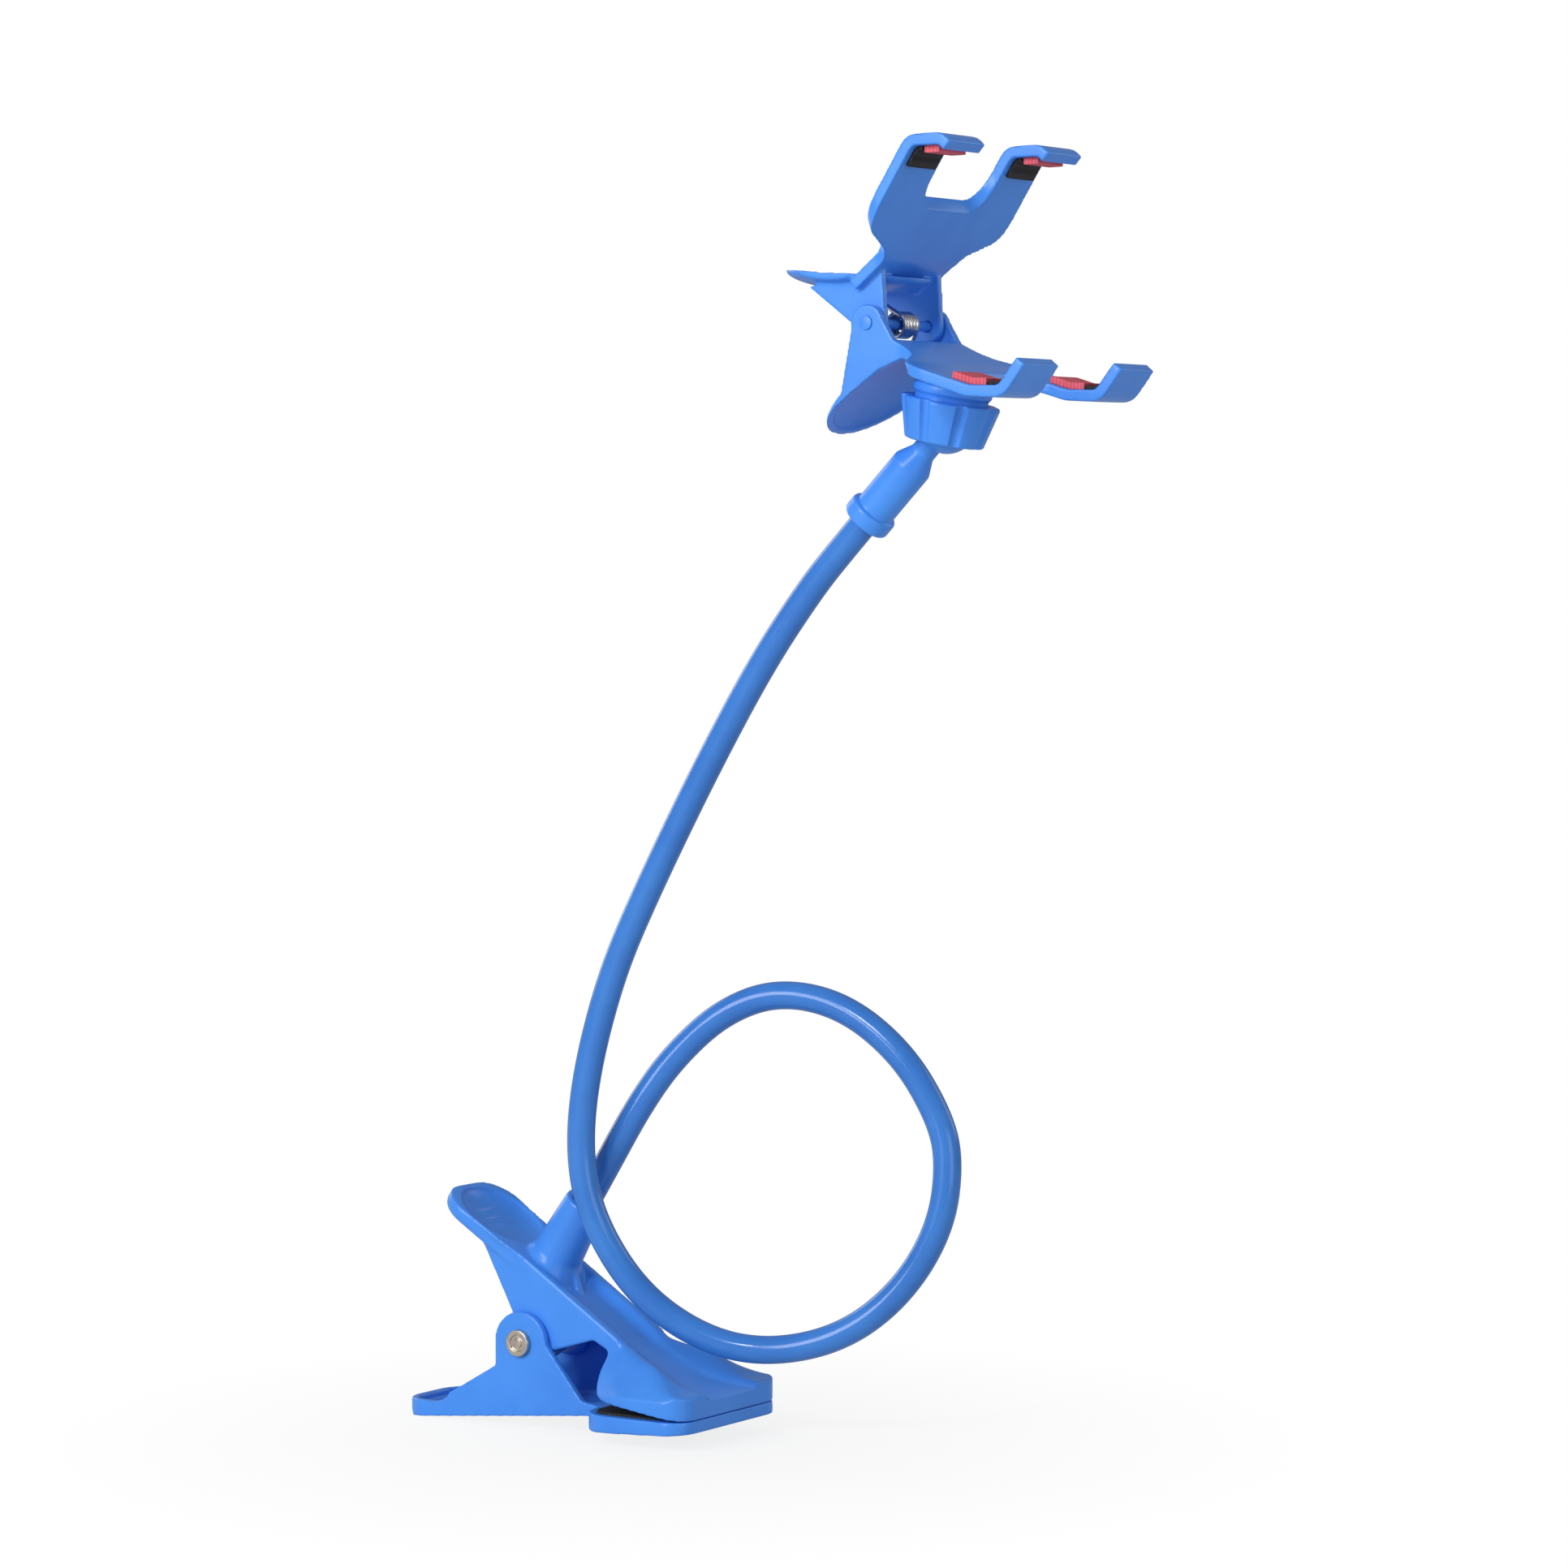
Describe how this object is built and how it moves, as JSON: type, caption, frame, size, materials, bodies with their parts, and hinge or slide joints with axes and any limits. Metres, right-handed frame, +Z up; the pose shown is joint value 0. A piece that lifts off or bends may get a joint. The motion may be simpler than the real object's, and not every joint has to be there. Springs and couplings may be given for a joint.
{
  "type": "gooseneck phone holder",
  "caption": "Bendable gooseneck arm with a spring clamp for a desk edge at one end and a ball-jointed spring clip with padded, hooked fingers for a phone at the other.",
  "frame": {"origin": "middle of the clamp's closed grip, on its middle plane", "axes": "+X out over the tips of the clamp's jaws, +Y along both hinge pins, +Z up as the holder stands on a level desk edge"},
  "size_m": [0.2391, 0.076, 0.3907],
  "materials": {
    "blue_plastic": "smooth satin moulding",
    "red_rubber": "soft matte",
    "black_rubber": "matte",
    "plated_steel": "plated, lightly brushed",
    "spring_steel": "bright wire",
    "wound_steel": "wound strip"
  },
  "bodies": {
    "clamp_and_arm": {"clamp_upper_jaw": "blue_plastic", "clamp_pin": "plated_steel", "clamp_pin_nut": "plated_steel", "clamp_spring": "spring_steel", "upper_jaw_pad": "black_rubber", "boss_screw": "plated_steel", "gooseneck_sheath": "blue_plastic", "gooseneck_core": "wound_steel"},
    "lower_lever": {"clamp_lower_jaw": "blue_plastic", "lower_jaw_pad": "black_rubber"},
    "stem": {"ball_stem": "blue_plastic"},
    "nut": {"lock_nut": "blue_plastic"},
    "clip": {"clip_lower_jaw": "blue_plastic", "clip_pin": "plated_steel", "clip_pin_washer": "plated_steel", "clip_spring": "spring_steel", "grip_pad_lower_near": "red_rubber", "grip_pad_lower_far": "red_rubber", "hook_liner_lower_near": "black_rubber", "hook_liner_lower_far": "black_rubber"},
    "clip_upper": {"clip_upper_jaw": "blue_plastic", "grip_pad_upper_near": "red_rubber", "grip_pad_upper_far": "red_rubber", "hook_liner_upper_near": "black_rubber", "hook_liner_upper_far": "black_rubber"}
  },
  "joints": [
    {"name": "clamp_open", "type": "hinge", "parent": "clamp_and_arm", "child": "lower_lever", "pos_m": [-0.0487, 0, 0.0155], "axis": [0, 1, 0], "range_deg": [0, 38], "stiffness_Nm_per_rad": 0.9, "springref_deg": -45.84, "deforming": ["clamp_spring"]},
    {"name": "stem_swivel", "type": "hinge", "parent": "clamp_and_arm", "child": "stem", "pos_m": [0.0958, 0, 0.2975], "axis": [0.7022, 0, 0.712], "continuous": true},
    {"name": "ball_tilt", "type": "hinge", "parent": "stem", "child": "nut", "pos_m": [0.0958, 0, 0.2975], "axis": [0, 1, 0], "range_deg": [-2.5, 69]},
    {"name": "clip_spin", "type": "hinge", "parent": "nut", "child": "clip", "pos_m": [0.0958, 0, 0.2975], "axis": [0.1994, 0, 0.9799], "continuous": true},
    {"name": "clip_open", "type": "hinge", "parent": "clip", "child": "clip_upper", "pos_m": [0.0799, 0, 0.3266], "axis": [0, -1, 0], "range_deg": [-62, 30], "deforming": ["clip_spring"]}
  ]
}
